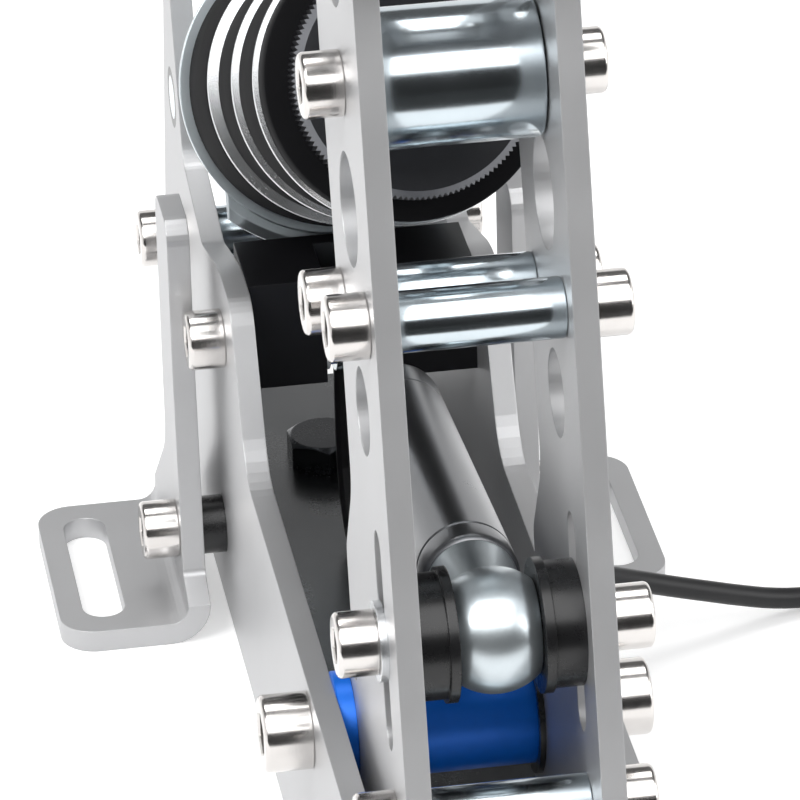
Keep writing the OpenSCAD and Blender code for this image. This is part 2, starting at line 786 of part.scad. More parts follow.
module reaction_cup() {
    flange_end = cup_s + cup_flange_t;
    color([0.7, 0.74, 0.74]) stack_place() difference() {
        union() {
            along(cup_s, flange_end, cup_r);
            intersection() {
                union() {
                    translate([0, flange_end, 0]) rotate([-90, 0, 0])
                        cylinder(h = cup_round, r1 = holder_r - cup_round, r2 = holder_r, $fn = 96);
                    along(flange_end + cup_round, cell_s, holder_r);
                }
                translate([-holder_w / 2, cup_s, -holder_r])
                    cube([holder_w, cup_floor_t + 1, 2 * holder_r]);
            }
        }
        along(cup_s - 1, cell_s + 1, rod_r + run_gap);
    }
}
module load_cell() {
    color([0.6, 0.6, 0.62]) stack_place()
        along_ring(cell_s, cell_s + cell_t, cell_r, rod_r + screw_gap);
}
module trunnion_block() {
    half_w = trunnion_block_w / 2;
    half_h = trunnion_block_h / 2;
    color([0.62, 0.62, 0.64]) stack_place() difference() {
        translate([-half_w, trunnion_block_s, -half_h])
            cube([trunnion_block_w, trunnion_block_end - trunnion_block_s, trunnion_block_h]);
        along(trunnion_block_s - 1, trunnion_block_end + 1, rod_r + run_gap);
        across(-half_w - 1, half_w + 1, trunnion_r, stack_len, 0);
    }
}
module trunnion_pins() {
    color([0.7, 0.7, 0.72]) stack_place() both_sides()
        across(rod_r + 1.5, frame_out, trunnion_r, stack_len, 0);
}
module trunnion_collars() {
    inner = trunnion_block_w / 2;
    outer = frame_in - trunnion_flange_t - face_gap;
    color([0.72, 0.76, 0.8]) stack_place() both_sides()
        across_tube(inner, outer, collar_r, trunnion_r, stack_len, 0);
}
module trunnion_bushes() {
    color([0.05, 0.05, 0.05]) in_place() both_sides() {
        across_tube(frame_in, frame_out, trunnion_bush_r, trunnion_r + run_gap,
            trunnion_y, trunnion_z);
        across_tube(frame_in - trunnion_flange_t, frame_in, trunnion_flange_r,
            trunnion_r + run_gap, trunnion_y, trunnion_z);
    }
}
module rod_washer() {
    start = trunnion_block_end + face_gap;
    color([0.72, 0.76, 0.8]) stack_place()
        along_ring(start, start + rod_washer_t, rod_washer_r, rod_r);
}
module rod_nut() {
    start = trunnion_block_end + face_gap + rod_washer_t;
    color([0.72, 0.76, 0.8]) stack_place() difference() {
        translate([0, start, 0]) rotate([-90, 0, 0])
            cylinder(h = nut_h, r = nut_af / sqrt(3), $fn = 6);
        along(start - 1, start + nut_h + 1, rod_r);
    }
}

// Damper
module damper_eye() {
    color([0.78, 0.82, 0.85]) damper_place() difference() {
        union() {
            intersection() {
                sphere(r = eye_r, $fn = 96);
                translate([-eye_w / 2, -eye_r, -eye_r]) cube([eye_w, 2 * eye_r, 2 * eye_r]);
            }
            translate([0, eye_r - 3.5, 0]) rotate([-90, 0, 0])
                cylinder(h = damper_start - eye_r + 3.5, r1 = eye_neck_r, r2 = eye_collar_r, $fn = 96);
        }
        across(-eye_w, eye_w, screw_r + eye_play);
    }
}
module damper_body() {
    color([0.04, 0.04, 0.045]) damper_place() difference() {
        along(damper_start, body_end, damper_r);
        along(damper_start + 5, body_end + 1, damper_r - damper_wall);
    }
}
module damper_cap() {
    dome = 4;
    color([0.05, 0.05, 0.055]) damper_place() difference() {
        translate([0, body_end, 0]) rotate([-90, 0, 0]) rotate_extrude($fn = 96)
            polygon(concat(
                [[0, 0], [damper_r, 0]],
                [for (a = [0:15:90]) [
                    damper_r - dome + dome * cos(a), cap_len - dome + dome * sin(a)]],
                [[0, cap_len]]
            ));
        along(body_end - 1, cap_end + 1, damper_rod_r + run_gap);
    }
}
module damper_rod() {
    color([0.8, 0.8, 0.82]) damper_place()
        along(piston_s, damper_span - rear_eye_r + 1, damper_rod_r);
}
module damper_piston() {
    color([0.5, 0.5, 0.5]) damper_place()
        along_ring(piston_s, piston_s + piston_t, damper_r - damper_wall - run_gap, damper_rod_r);
}
module damper_rear_eye() {
    half = rear_eye_w / 2;
    color([0.72, 0.76, 0.8]) damper_place() difference() {
        across(-half, half, rear_eye_r, damper_span, 0);
        across(-half - 1, half + 1, screw_r + run_gap, damper_span, 0);
        along(0, damper_span - rear_eye_r + 1, damper_rod_r);
    }
}
module damper_rear_bushes() {
    start = rear_eye_w / 2 + rear_side_gap;
    color([0.02, 0.25, 0.85]) in_place() both_sides()
        across_tube(start, start + rear_bush_t, rear_eye_r - 1.5, screw_r + screw_gap,
            block_y, block_z);
}
module damper_rear_washers() {
    start = rear_eye_w / 2 + rear_side_gap + rear_bush_t;
    color([0.85, 0.87, 0.88]) in_place() both_sides()
        across_tube(start, start + rear_washer_t, rear_eye_r - 0.5, screw_r + screw_gap,
            block_y, block_z);
}
module damper_bushes() {
    start = eye_w / 2 + face_gap;
    color([0.04, 0.04, 0.04]) arm_place() translate([0, damper_at[0], damper_at[1]]) both_sides() {
        across_tube(start, start + damper_bush_flange_t, damper_bush_flange_r,
            screw_r + screw_gap);
        across_tube(start + damper_bush_flange_t, arm_in, damper_bush_r, screw_r + screw_gap);
    }
}
module damper_washers() {
    color([0.76, 0.78, 0.8]) arm_place() both_sides()
        across_tube(arm_out, arm_out + damper_washer_t, damper_washer_r, screw_r + screw_gap,
            damper_at[0], damper_at[1]);
}
module damper_screws() {
    seat = arm_out + damper_washer_t;
    color([0.78, 0.77, 0.75]) arm_place() both_sides()
        frame_screw(seat, damper_at[0], damper_at[1], seat - face_gap);
}

// Cable, its gland in the right side plate and the load cell's own lead
module cable_gland() {
    tip = frame_out + gland_hex_t;
    cone = 2;
    color([0.06, 0.06, 0.06]) in_place() {
        translate([frame_out, gland_y, gland_z]) rotate([0, 90, 0])
            cylinder(h = gland_hex_t, r = gland_hex_af / sqrt(3), $fn = 6);
        across(tip, tip + gland_nose_l - cone, gland_nose_r, gland_y, gland_z);
        translate([tip + gland_nose_l - cone, gland_y, gland_z]) rotate([0, 90, 0])
            cylinder(h = cone, r1 = gland_nose_r, r2 = cable_r + 1.4, $fn = 64);
        across(frame_in - gland_tail_l, frame_out, gland_thread_r, gland_y, gland_z);
    }
}
module cell_lead() {
    color([0.06, 0.06, 0.06]) in_place() tube(lead_path, lead_r, 8, [-1, 0, 0], lead_last);
}
module cable() {
    color([0.05, 0.05, 0.05]) in_place()
        tube(cable_path, cable_r, cable_sides, [1, 0, 0], coil_enter);
}
module cable_coil() {
    color([0.05, 0.05, 0.05]) in_place()
        tube(coil_path, cable_r, coil_sides, coil_enter, coil_leave);
}
module cable_tail() {
    color([0.05, 0.05, 0.05]) in_place()
        tube(tail_path, cable_r, cable_sides, coil_leave, coil_leave);
}
module cable_plug() {
    color([0.1, 0.1, 0.1]) in_place() translate(tail_end) {
        translate([-boot_w / 2, 0, -boot_h / 2 + 0.6]) cube([boot_w, boot_l, boot_h]);
        translate([-plug_w / 2, boot_l, -plug_h / 2]) cube([plug_w, plug_l, plug_h]);
    }
}
module cable_tie() {
    inner = coil_in_r - cable_r - tie_gap;
    outer = coil_start_r + cable_r + tie_gap;
    top = coil_high_z + cable_r + tie_gap;
    color([0.08, 0.08, 0.08]) in_place() translate([coil_x, coil_y, 0]) rotate([0, 0, 180])
        rotate([90, 0, 0]) translate([0, 0, -tie_w / 2]) linear_extrude(tie_w) difference() {
            translate([inner - tie_t, 0]) square([outer - inner + 2 * tie_t, top + tie_t]);
            translate([inner, tie_t]) square([outer - inner, top - tie_t]);
        }
}

side_plate_left();
side_plate_right();
foot_bracket_left();
foot_bracket_right();
bracket_rings();
floor_plate();
floor_bolt();
cross_block();
frame_spacer();
frame_screws();
screw_washers();
pivot_tube();
pivot_screws();
trunnion_bushes();
damper_rear_bushes();
damper_rear_washers();
cable_gland();
cell_lead();
cable();
cable_coil();
cable_tail();
cable_plug();
cable_tie();
arm_plate_left();
arm_plate_right();
arm_spacers();
arm_screws();
pivot_bushes();
damper_screws();
damper_washers();
damper_bushes();
face_bracket();
pedal_face();
face_screws();
cross_bar();
push_rod();
pressure_plate();
front_washer();
rod_washer();
rod_nut();
preload_dial();
rubber_disc_1();
rubber_disc_2();
rubber_disc_3();
middle_washer_1();
middle_washer_2();
reaction_cup();
load_cell();
trunnion_block();
trunnion_pins();
trunnion_collars();
damper_body();
damper_cap();
damper_eye();
damper_rod();
damper_piston();
damper_rear_eye();
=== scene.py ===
# %% [markdown]
# A brake pedal for sim racing: two sheet steel arms on a pivot press a push rod against a
# stack of rubber discs, with a small hydraulic damper below. The solids come from the
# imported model. Here they get their camera, light, finishes and the finer pieces.

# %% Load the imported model
import bpy
from math import cos, pi, radians, sin
from mathutils import Matrix, Vector


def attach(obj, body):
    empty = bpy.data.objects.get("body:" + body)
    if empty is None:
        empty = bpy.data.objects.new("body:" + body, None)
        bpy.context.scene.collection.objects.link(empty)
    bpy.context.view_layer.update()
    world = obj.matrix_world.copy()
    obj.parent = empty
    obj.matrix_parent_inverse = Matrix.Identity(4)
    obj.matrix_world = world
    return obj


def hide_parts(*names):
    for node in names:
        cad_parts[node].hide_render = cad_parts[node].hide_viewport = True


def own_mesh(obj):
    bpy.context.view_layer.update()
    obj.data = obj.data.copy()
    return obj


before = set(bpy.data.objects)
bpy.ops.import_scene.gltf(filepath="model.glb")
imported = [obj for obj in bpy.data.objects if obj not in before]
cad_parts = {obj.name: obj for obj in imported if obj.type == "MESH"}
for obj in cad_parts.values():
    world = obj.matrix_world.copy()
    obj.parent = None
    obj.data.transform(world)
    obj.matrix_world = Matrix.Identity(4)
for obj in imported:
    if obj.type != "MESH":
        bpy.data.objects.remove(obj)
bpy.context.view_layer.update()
MM = 0.001

# %% [markdown]
# The photograph is taken from the front left and above with a long lens. A camera needs its
# place, the way it looks and a lens. Building its matrix from these directions keeps the
# small roll that a Track To constraint would lose.

# %% Camera
CAMERA_PLACE = Vector((-0.1782, -1.1996, 0.7194))
CAMERA_FORWARD = Vector((0.1308, 0.8749, -0.4662)).normalized()
CAMERA_UP = Vector((0.0948, 0.4571, 0.8843))
LENS_MM = 292.3

right = CAMERA_FORWARD.cross(CAMERA_UP).normalized()
up = right.cross(CAMERA_FORWARD)
camera_data = bpy.data.cameras.new("camera")
camera_data.lens = LENS_MM
camera_data.sensor_width = 36
camera_data.clip_end = 20
camera = bpy.data.objects.new("camera", camera_data)
axes = Matrix((right, up, -CAMERA_FORWARD)).transposed().to_4x4()
camera.matrix_world = Matrix.Translation(CAMERA_PLACE) @ axes
bpy.context.collection.objects.link(camera)
bpy.context.scene.camera = camera
print("camera looks along", [round(v, 3) for v in CAMERA_FORWARD])

# %% [markdown]
# Places and sizes that several pieces share. They repeat the model's own values: lengths are
# millimetres from the middle of the base, and each of the two inclined units, the rubber
# stack and the damper, has an origin, a direction along it and a direction square to it.

# %% Shared places
FRAME_HALF = 155
PIVOT = Vector((0, 83 - FRAME_HALF, 45))
ARM_LEAN = radians(15.2)
BAR_AT = (-53, 141.6)
SPACERS_AT = [(-33, 95.3), (-66.6, 96.9), (-62, -3)]
DAMPER_AT = (-60.3, 33.1)
TRUNNION = Vector((0, 284.5 - FRAME_HALF, 94.3))
BLOCK = Vector((0, 206 - FRAME_HALF, 72.5))
FRAME_OUT = 30
FRAME_IN = 25
ARM_IN = 16.5
ARM_OUT = 21.5


def on_arm(y, z):
    """A place on the arm, measured from its pivot, in the model's own millimetres."""
    return PIVOT + Vector((0, y * cos(ARM_LEAN) + z * sin(ARM_LEAN),
                           z * cos(ARM_LEAN) - y * sin(ARM_LEAN)))


BAR = on_arm(*BAR_AT)
EYE = on_arm(*DAMPER_AT)
STACK_ALONG = (TRUNNION - BAR).normalized()
DAMPER_ALONG = (BLOCK - EYE).normalized()
print("stack", round((TRUNNION - BAR).length, 2), "mm")
print("damper", round((BLOCK - EYE).length, 2), "mm")

# %% [markdown]
# The cable leaves a gland in the right side plate, falls to the floor and lies in a round
# coil with a plug at its end, outside the picture. A free cable is a curve with one spline,
# whose points repeat the model's route. The coil's turns come from the same formula.

# %% Cable route
CABLE_D = 4.8
GLAND_END = (41, 171, 24)
ROUTE = [
    (46, 172.5, 23), (51, 174.8, 20.6), (56, 177, 18), (64, 179.5, 14.4), (73, 182, 10.7),
    (81, 184.4, 7.4), (89, 186.4, 4.7), (97, 188, 3.2), (107, 189.3, 2.7), (118, 189.6, 2.7),
    (130, 188.6, 2.9), (141, 186.4, 3.2), (148, 184.7, 3.4),
]
TAIL = [(0, 12, 0), (0.2, 20, -0.8), (0.6, 30, -3), (1, 40, -5), (1.2, 50, -5.4)]
COIL_MIDDLE = (158, 220)
COIL_IN_R = 24
COIL_PITCH = CABLE_D + 1.2
LOW_TURNS = 2
HIGH_TURNS = 1.75
LOW_Z = 1 + CABLE_D / 2
HIGH_Z = LOW_Z + COIL_PITCH
COIL_END_R = COIL_IN_R + COIL_PITCH * HIGH_TURNS
CLIMB_TURNS = 0.5
STEPS_A_TURN = 24


def coil_at(turn):
    """The coil winds in on the floor, climbs over half a turn and winds out on top."""
    high = LOW_TURNS + CLIMB_TURNS
    if turn < LOW_TURNS:
        r = COIL_IN_R + COIL_PITCH * (LOW_TURNS - turn)
    else:
        r = COIL_IN_R + COIL_PITCH * max(turn - high, 0)
    climb = min(max((turn - LOW_TURNS) / CLIMB_TURNS, 0), 1)
    z = LOW_Z + COIL_PITCH * climb * climb * (3 - 2 * climb)
    a = 2 * pi * turn - pi / 2
    return (COIL_MIDDLE[0] + r * cos(a), COIL_MIDDLE[1] + r * sin(a), z)


COIL_TURNS = LOW_TURNS + CLIMB_TURNS + HIGH_TURNS
COIL_STEPS = round(COIL_TURNS * STEPS_A_TURN)
coil = [coil_at(COIL_TURNS * i / COIL_STEPS) for i in range(COIL_STEPS + 1)]
tail_start = (COIL_MIDDLE[0] + COIL_END_R, COIL_MIDDLE[1], HIGH_Z)
tail = [tuple(a + b for a, b in zip(tail_start, t)) for t in TAIL]
cable_points = [Vector(p) - Vector((0, FRAME_HALF, 0)) for p in [GLAND_END] + ROUTE + coil + tail]

# %% Cable
cable_curve = bpy.data.curves.new("free_cable", "CURVE")
cable_curve.dimensions = "3D"
cable_curve.bevel_depth = 1
cable_curve.bevel_resolution = 5
cable_curve.resolution_u = 3
cable_curve.use_fill_caps = True
spline = cable_curve.splines.new("BEZIER")
spline.bezier_points.add(len(cable_points) - 1)
for point, place in zip(spline.bezier_points, cable_points):
    point.co = place * MM
    point.radius = CABLE_D / 2 * MM
    point.handle_left_type = "AUTO"
    point.handle_right_type = "AUTO"
free_cable = bpy.data.objects.new("free_cable", cable_curve)
bpy.context.collection.objects.link(free_cable)
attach(free_cable, "frame")
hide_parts("cable", "cable_coil", "cable_tail")
print("cable drawn as one spline")

# %% [markdown]
# Finishes share a few surface effects. Blasted steel, cast rubber and moulded plastic all have
# a fine grain, so the grain is one node group with named inputs. It gives a height for a
# Bump node and a mask that varies colour and roughness a little, as real surfaces do.


# %% Node group: grain
def new_group(name, inputs, outputs):
    """An empty shader node group with these sockets: (name, kind, starting value)."""
    group = bpy.data.node_groups.new(name, "ShaderNodeTree")
    for label, kind, value in inputs:
        socket = group.interface.new_socket(label, in_out="INPUT", socket_type=kind)
        socket.default_value = value
    for label, kind in outputs:
        group.interface.new_socket(label, in_out="OUTPUT", socket_type=kind)
    start = group.nodes.new("NodeGroupInput")
    end = group.nodes.new("NodeGroupOutput")
    return group, start, end


def add(tree, kind, **values):
    """A node in a tree, with its properties and the values of its inputs set."""
    node = tree.nodes.new(kind)
    for key, value in values.items():
        if key in node.inputs.keys():
            node.inputs[key].default_value = value
        else:
            setattr(node, key, value)
    return node


GRAIN_SHARE = 0.35


def build_grain():
    """Fine grain and slow clouds: a mask for colour and roughness, and a height."""
    group, start, end = new_group(
        "fine_grain",
        [("Grain Size", "NodeSocketFloat", 0.3), ("Cloud Size", "NodeSocketFloat", 30.0),
         ("Dark", "NodeSocketColor", (0, 0, 0, 1)), ("Light", "NodeSocketColor", (1, 1, 1, 1)),
         ("Smooth", "NodeSocketFloat", 0.3), ("Rough", "NodeSocketFloat", 0.4)],
        [("Color", "NodeSocketColor"), ("Roughness", "NodeSocketFloat"),
         ("Height", "NodeSocketFloat")],
    )
    link = group.links.new
    place = add(group, "ShaderNodeTexCoord")
    grain_scale = add(group, "ShaderNodeMath", operation="DIVIDE")
    grain_scale.inputs[0].default_value = 1 / MM
    cloud_scale = add(group, "ShaderNodeMath", operation="DIVIDE")
    cloud_scale.inputs[0].default_value = 1 / MM
    grain = add(group, "ShaderNodeTexNoise", Detail=3.0, Roughness=0.6)
    cloud = add(group, "ShaderNodeTexNoise", Detail=2.0, Roughness=0.5)
    mask = add(group, "ShaderNodeMath", operation="MULTIPLY_ADD")
    mask.inputs[1].default_value = GRAIN_SHARE
    shade = add(group, "ShaderNodeMix", data_type="RGBA")
    rough = add(group, "ShaderNodeMix", data_type="FLOAT")
    link(start.outputs["Grain Size"], grain_scale.inputs[1])
    link(start.outputs["Cloud Size"], cloud_scale.inputs[1])
    link(place.outputs["Object"], grain.inputs["Vector"])
    link(place.outputs["Object"], cloud.inputs["Vector"])
    link(grain_scale.outputs[0], grain.inputs["Scale"])
    link(cloud_scale.outputs[0], cloud.inputs["Scale"])
    clouded = add(group, "ShaderNodeMath", operation="MULTIPLY")
    clouded.inputs[1].default_value = 1 - GRAIN_SHARE
    link(cloud.outputs["Fac"], clouded.inputs[0])
    link(grain.outputs["Fac"], mask.inputs[0])
    link(clouded.outputs[0], mask.inputs[2])
    link(mask.outputs[0], shade.inputs["Factor"])
    link(start.outputs["Dark"], shade.inputs[6])
    link(start.outputs["Light"], shade.inputs[7])
    link(mask.outputs[0], rough.inputs["Factor"])
    link(start.outputs["Smooth"], rough.inputs[2])
    link(start.outputs["Rough"], rough.inputs[3])
    link(shade.outputs[2], end.inputs["Color"])
    link(rough.outputs[0], end.inputs["Roughness"])
    link(grain.outputs["Fac"], end.inputs["Height"])
    return group


GRAIN = build_grain()
print("group", GRAIN.name, [s.name for s in GRAIN.interface.items_tree])

# %% [markdown]
# Laser-cut sheet and turned bar never have razor edges. Cycles has a Bevel node that rounds the
# normals at an edge without changing the mesh, so every edge catches a thin line of light.
# A second group draws the fine rings that a lathe leaves, along any direction it is given.


# %% Node groups: soft edges and turning rings
def build_soft_edges():
    """Normals that round off at edges."""
    group, start, end = new_group(
        "soft_edges", [("Radius", "NodeSocketFloat", 0.0004)], [("Normal", "NodeSocketVector")])
    bevel = add(group, "ShaderNodeBevel", samples=6)
    group.links.new(start.outputs["Radius"], bevel.inputs["Radius"])
    group.links.new(bevel.outputs["Normal"], end.inputs["Normal"])
    return group


def build_turning():
    """The height of fine lathe rings along one direction."""
    group, start, end = new_group(
        "turning_rings",
        [("Along", "NodeSocketVector", (1, 0, 0)), ("Pitch", "NodeSocketFloat", 0.2)],
        [("Height", "NodeSocketFloat")],
    )
    link = group.links.new
    place = add(group, "ShaderNodeTexCoord")
    dot = add(group, "ShaderNodeVectorMath", operation="DOT_PRODUCT")
    count = add(group, "ShaderNodeMath", operation="DIVIDE")
    count.inputs[0].default_value = 1 / MM
    times = add(group, "ShaderNodeMath", operation="MULTIPLY")
    lines = add(group, "ShaderNodeTexNoise", noise_dimensions="1D", Detail=4.0, Scale=1.0)
    link(place.outputs["Object"], dot.inputs[0])
    link(start.outputs["Along"], dot.inputs[1])
    link(start.outputs["Pitch"], count.inputs[1])
    link(dot.outputs["Value"], times.inputs[0])
    link(count.outputs[0], times.inputs[1])
    link(times.outputs[0], lines.inputs["W"])
    link(lines.outputs["Fac"], end.inputs["Height"])
    return group


SOFT_EDGES = build_soft_edges()
TURNING = build_turning()
print("groups", SOFT_EDGES.name, TURNING.name)

# %% [markdown]
# Each finish is one material with a Principled shader of its own. The groups feed its colour,
# roughness and normal, and what is the same all over is set on the shader itself.


# %% Material maker
def finish(name, dark, light, smooth, rough, metallic=1.0, grain=0.3, cloud=30.0, depth=0.00002,
           edge=0.0004, rings=None, specular=0.5):
    """A material whose colour and roughness run between two values with the grain.

    Grain and cloud are sizes in mm, depth and edge are metres, rings are (direction, pitch).
    """
    material = bpy.data.materials.new(name)
    material.use_nodes = True
    tree = material.node_tree
    tree.nodes.clear()
    output = add(tree, "ShaderNodeOutputMaterial")
    shader = add(tree, "ShaderNodeBsdfPrincipled", Metallic=metallic)
    shader.inputs["Specular IOR Level"].default_value = specular
    surface = add(tree, "ShaderNodeGroup", node_tree=GRAIN)
    surface.inputs["Grain Size"].default_value = grain
    surface.inputs["Cloud Size"].default_value = cloud
    surface.inputs["Dark"].default_value = (*dark, 1)
    surface.inputs["Light"].default_value = (*light, 1)
    surface.inputs["Smooth"].default_value = smooth
    surface.inputs["Rough"].default_value = rough
    edges = add(tree, "ShaderNodeGroup", node_tree=SOFT_EDGES)
    edges.inputs["Radius"].default_value = edge
    bump = add(tree, "ShaderNodeBump", Distance=depth, Strength=1.0)
    link = tree.links.new
    link(surface.outputs["Color"], shader.inputs["Base Color"])
    link(surface.outputs["Roughness"], shader.inputs["Roughness"])
    link(edges.outputs["Normal"], bump.inputs["Normal"])
    if rings:
        along, pitch = rings
        turned = add(tree, "ShaderNodeGroup", node_tree=TURNING)
        turned.inputs["Along"].default_value = along
        turned.inputs["Pitch"].default_value = pitch
        link(turned.outputs["Height"], bump.inputs["Height"])
    else:
        link(surface.outputs["Height"], bump.inputs["Height"])
    link(bump.outputs["Normal"], shader.inputs["Normal"])
    link(shader.outputs["BSDF"], output.inputs["Surface"])
    return material


print("material maker ready")

# %% [markdown]
# The real object has few finishes: bead-blasted stainless sheet, bright zinc with a blue cast,
# polished screw heads, satin black and blue anodised aluminium, rubber and plastic.

# %% Metals
ACROSS = (1, 0, 0)
BLASTED = finish("blasted_stainless", (0.5, 0.502, 0.51), (0.58, 0.582, 0.59), 0.4, 0.5,
                 metallic=0.75, grain=0.25, cloud=22, depth=0.000012)
ZINC = finish("bright_zinc", (0.52, 0.59, 0.63), (0.66, 0.73, 0.77), 0.1, 0.22,
              grain=1.2, cloud=14, depth=0.000004)
ZINC_SATIN = finish("satin_zinc", (0.56, 0.62, 0.65), (0.68, 0.74, 0.77), 0.26, 0.36,
                    metallic=0.9, grain=0.8, cloud=12, depth=0.000006)
ZINC_DISC = finish("zinc_washer", (0.6, 0.62, 0.64), (0.8, 0.81, 0.82), 0.2, 0.32,
                   grain=0.5, cloud=9, depth=0.000005, edge=0.0003)
POLISHED = finish("polished_steel", (0.62, 0.59, 0.57), (0.78, 0.76, 0.74), 0.12, 0.24,
                  grain=0.5, cloud=5, depth=0.000003, edge=0.0003, rings=(ACROSS, 0.35))
BLACK_ANODISED = finish("black_anodised", (0.006, 0.006, 0.007), (0.012, 0.012, 0.014), 0.24,
                        0.34, metallic=0.0, grain=0.2, cloud=14, depth=0.000006, specular=0.35)
MATT_BLACK = finish("matt_black", (0.006, 0.006, 0.007), (0.011, 0.011, 0.012), 0.6, 0.7,
                    metallic=0.0, grain=0.3, cloud=12, depth=0.000008, specular=0.03)
DAMPER_BLACK = finish("damper_black", (0.19, 0.195, 0.205), (0.24, 0.245, 0.255), 0.24, 0.34,
                      metallic=0.95, grain=0.2, cloud=14, depth=0.000005)
DIAL_BLACK = finish("blasted_black", (0.008, 0.008, 0.01), (0.024, 0.025, 0.03), 0.36, 0.5,
                    metallic=0.2, grain=0.35, cloud=8, depth=0.00002, edge=0.0002)
DIAL_EDGE = finish("cut_dial_edge", (0.13, 0.135, 0.15), (0.2, 0.205, 0.22), 0.4, 0.5,
                   metallic=0.3, grain=0.3, cloud=8, depth=0.00001, edge=0.0001)
BLUE_ANODISED = finish("blue_anodised", (0.0009, 0.13, 0.66), (0.0016, 0.165, 0.76), 0.3, 0.42,
                       metallic=0.2, grain=0.25, cloud=9, depth=0.000005, specular=0.3)
ALUMINIUM = finish("satin_aluminium", (0.66, 0.665, 0.67), (0.78, 0.785, 0.79), 0.28, 0.4,
                   grain=0.3, cloud=12, depth=0.000008)
# The floor plate is stainless like the sheet, painted a darker grey for the shade it lies in
# between the side plates.
SHADED_FLOOR_STEEL = finish("floor_steel_painted_shade", (0.17, 0.175, 0.18), (0.24, 0.245, 0.25), 0.2, 0.32,
                     grain=0.6, cloud=18, depth=0.00001)
BOLT_STEEL = finish("bolt_steel", (0.06, 0.063, 0.068), (0.09, 0.093, 0.098), 0.22, 0.32,
                    grain=0.6, cloud=10, depth=0.000008)
print("metals", 14)

# %% Plastics and rubber
RUBBER = finish("moulded_rubber", (0.007, 0.007, 0.008), (0.012, 0.012, 0.013), 0.6, 0.8,
                metallic=0.0, grain=0.4, cloud=10, depth=0.00002, edge=0.0006, specular=0.03)
BLACK_PLASTIC = finish("black_plastic", (0.006, 0.006, 0.007), (0.012, 0.012, 0.013), 0.22,
                       0.34, metallic=0.0, grain=0.3, cloud=8, depth=0.000006, specular=0.5)
BLUE_PLASTIC = finish("blue_plastic", (0.004, 0.11, 0.6), (0.006, 0.16, 0.8), 0.3, 0.42,
                      metallic=0.0, grain=0.3, cloud=6, depth=0.000006)
PALE_PLASTIC = finish("pale_plastic", (0.66, 0.68, 0.7), (0.78, 0.8, 0.82), 0.32, 0.45,
                      metallic=0.0, grain=0.3, cloud=6, depth=0.000006, edge=0.0002)
CABLE_SHEATH = finish("cable_sheath", (0.014, 0.014, 0.015), (0.03, 0.03, 0.032), 0.34, 0.5,
                      metallic=0.0, grain=0.35, cloud=12, depth=0.00001, edge=0.0002, specular=0.3)
print("plastics", 5)

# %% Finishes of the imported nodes
NODE_FINISH = {
    "side_plate_left": BLASTED, "side_plate_right": BLASTED, "foot_bracket_left": BLASTED,
    "foot_bracket_right": BLASTED, "arm_plate_left": BLASTED, "arm_plate_right": BLASTED,
    "face_bracket": BLASTED, "pedal_face": ALUMINIUM, "load_cell": ALUMINIUM,
    "trunnion_block": ALUMINIUM, "floor_plate": SHADED_FLOOR_STEEL, "floor_bolt": BOLT_STEEL,
    "cross_block": BLACK_ANODISED, "pressure_plate": MATT_BLACK, "pivot_tube": BLUE_ANODISED,
    "damper_rear_bushes": BLUE_PLASTIC, "damper_rear_washers": PALE_PLASTIC,
    "trunnion_bushes": BLACK_PLASTIC, "bracket_rings": BLACK_PLASTIC,
    "pivot_bushes": BLACK_PLASTIC, "damper_bushes": BLACK_PLASTIC, "cable_gland": BLACK_PLASTIC,
    "cable_plug": BLACK_PLASTIC, "cable_tie": BLACK_PLASTIC, "cell_lead": CABLE_SHEATH,
    "screw_washers": POLISHED, "reaction_cup": ZINC_SATIN, "damper_eye": ZINC_SATIN,
    "damper_washers": ZINC_DISC, "front_washer": ZINC_DISC, "middle_washer_1": ZINC_DISC,
    "middle_washer_2": ZINC_DISC,
}
for name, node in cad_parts.items():
    node.data.materials.clear()
    node.data.materials.append(NODE_FINISH.get(name, ZINC))
free_cable.data.materials.append(CABLE_SHEATH)
print("finished", len(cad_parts), "nodes")

# %% [markdown]
# Most small pieces were made on a lathe: they are rings of points round an axis. One helper
# joins such rings into a closed mesh. A ring's radius may change round the circle, which
# also gives a knurl's teeth and a screw's hexagon socket. A solid end closes on a ring that
# is nearly a point, as small as AXIS.


# %% Turned pieces
def axes_for(along):
    """A rotation that takes +Z to the given direction."""
    return Vector((0, 0, 1)).rotation_difference(Vector(along).normalized()).to_matrix().to_4x4()


AXIS = 0.01


def turned(rings, sides, origin, along):
    """Points and faces of a turned form. Each ring is (distance or distances, radius or radii)."""
    turn = Matrix.Translation(Vector(origin)) @ axes_for(along)
    points = []
    for z, radius in rings:
        for k in range(sides):
            r = radius[k] if isinstance(radius, list) else radius
            h = z[k] if isinstance(z, list) else z
            a = 2 * pi * k / sides
            points.append(turn @ Vector((r * cos(a), r * sin(a), h)) * MM)
    faces = []
    count = len(rings)
    for i in range(count):
        j = (i + 1) % count
        for k in range(sides):
            n = (k + 1) % sides
            faces.append((i * sides + k, i * sides + n, j * sides + n, j * sides + k))
    return points, faces


def make_piece(name, parts, body, replaces, material, smooth=35):
    """One object from several (points, faces), shaded smooth below an angle."""
    points = []
    faces = []
    for part_points, part_faces in parts:
        start = len(points)
        points += part_points
        faces += [tuple(i + start for i in face) for face in part_faces]
    mesh = bpy.data.meshes.new(name)
    mesh.from_pydata(points, [], faces)
    mesh.validate()
    piece = bpy.data.objects.new(name, mesh)
    bpy.context.collection.objects.link(piece)
    mesh.materials.append(material)
    mesh.shade_smooth()
    mesh.set_sharp_from_angle(angle=radians(smooth))
    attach(piece, body)
    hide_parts(*replaces)
    return piece


def bevelled_tube(start, end, r, bore, edge=0.5):
    """Rings of a tube with small chamfers, outside and in."""
    return [
        (start, bore + edge / 2), (start, r - edge), (start + edge * 0.3, r - edge * 0.3),
        (start + edge, r), (end - edge, r), (end - edge * 0.3, r - edge * 0.3), (end, r - edge),
        (end, bore + edge / 2), (end - edge / 2, bore), (start + edge / 2, bore),
    ]


print("turning helpers ready")

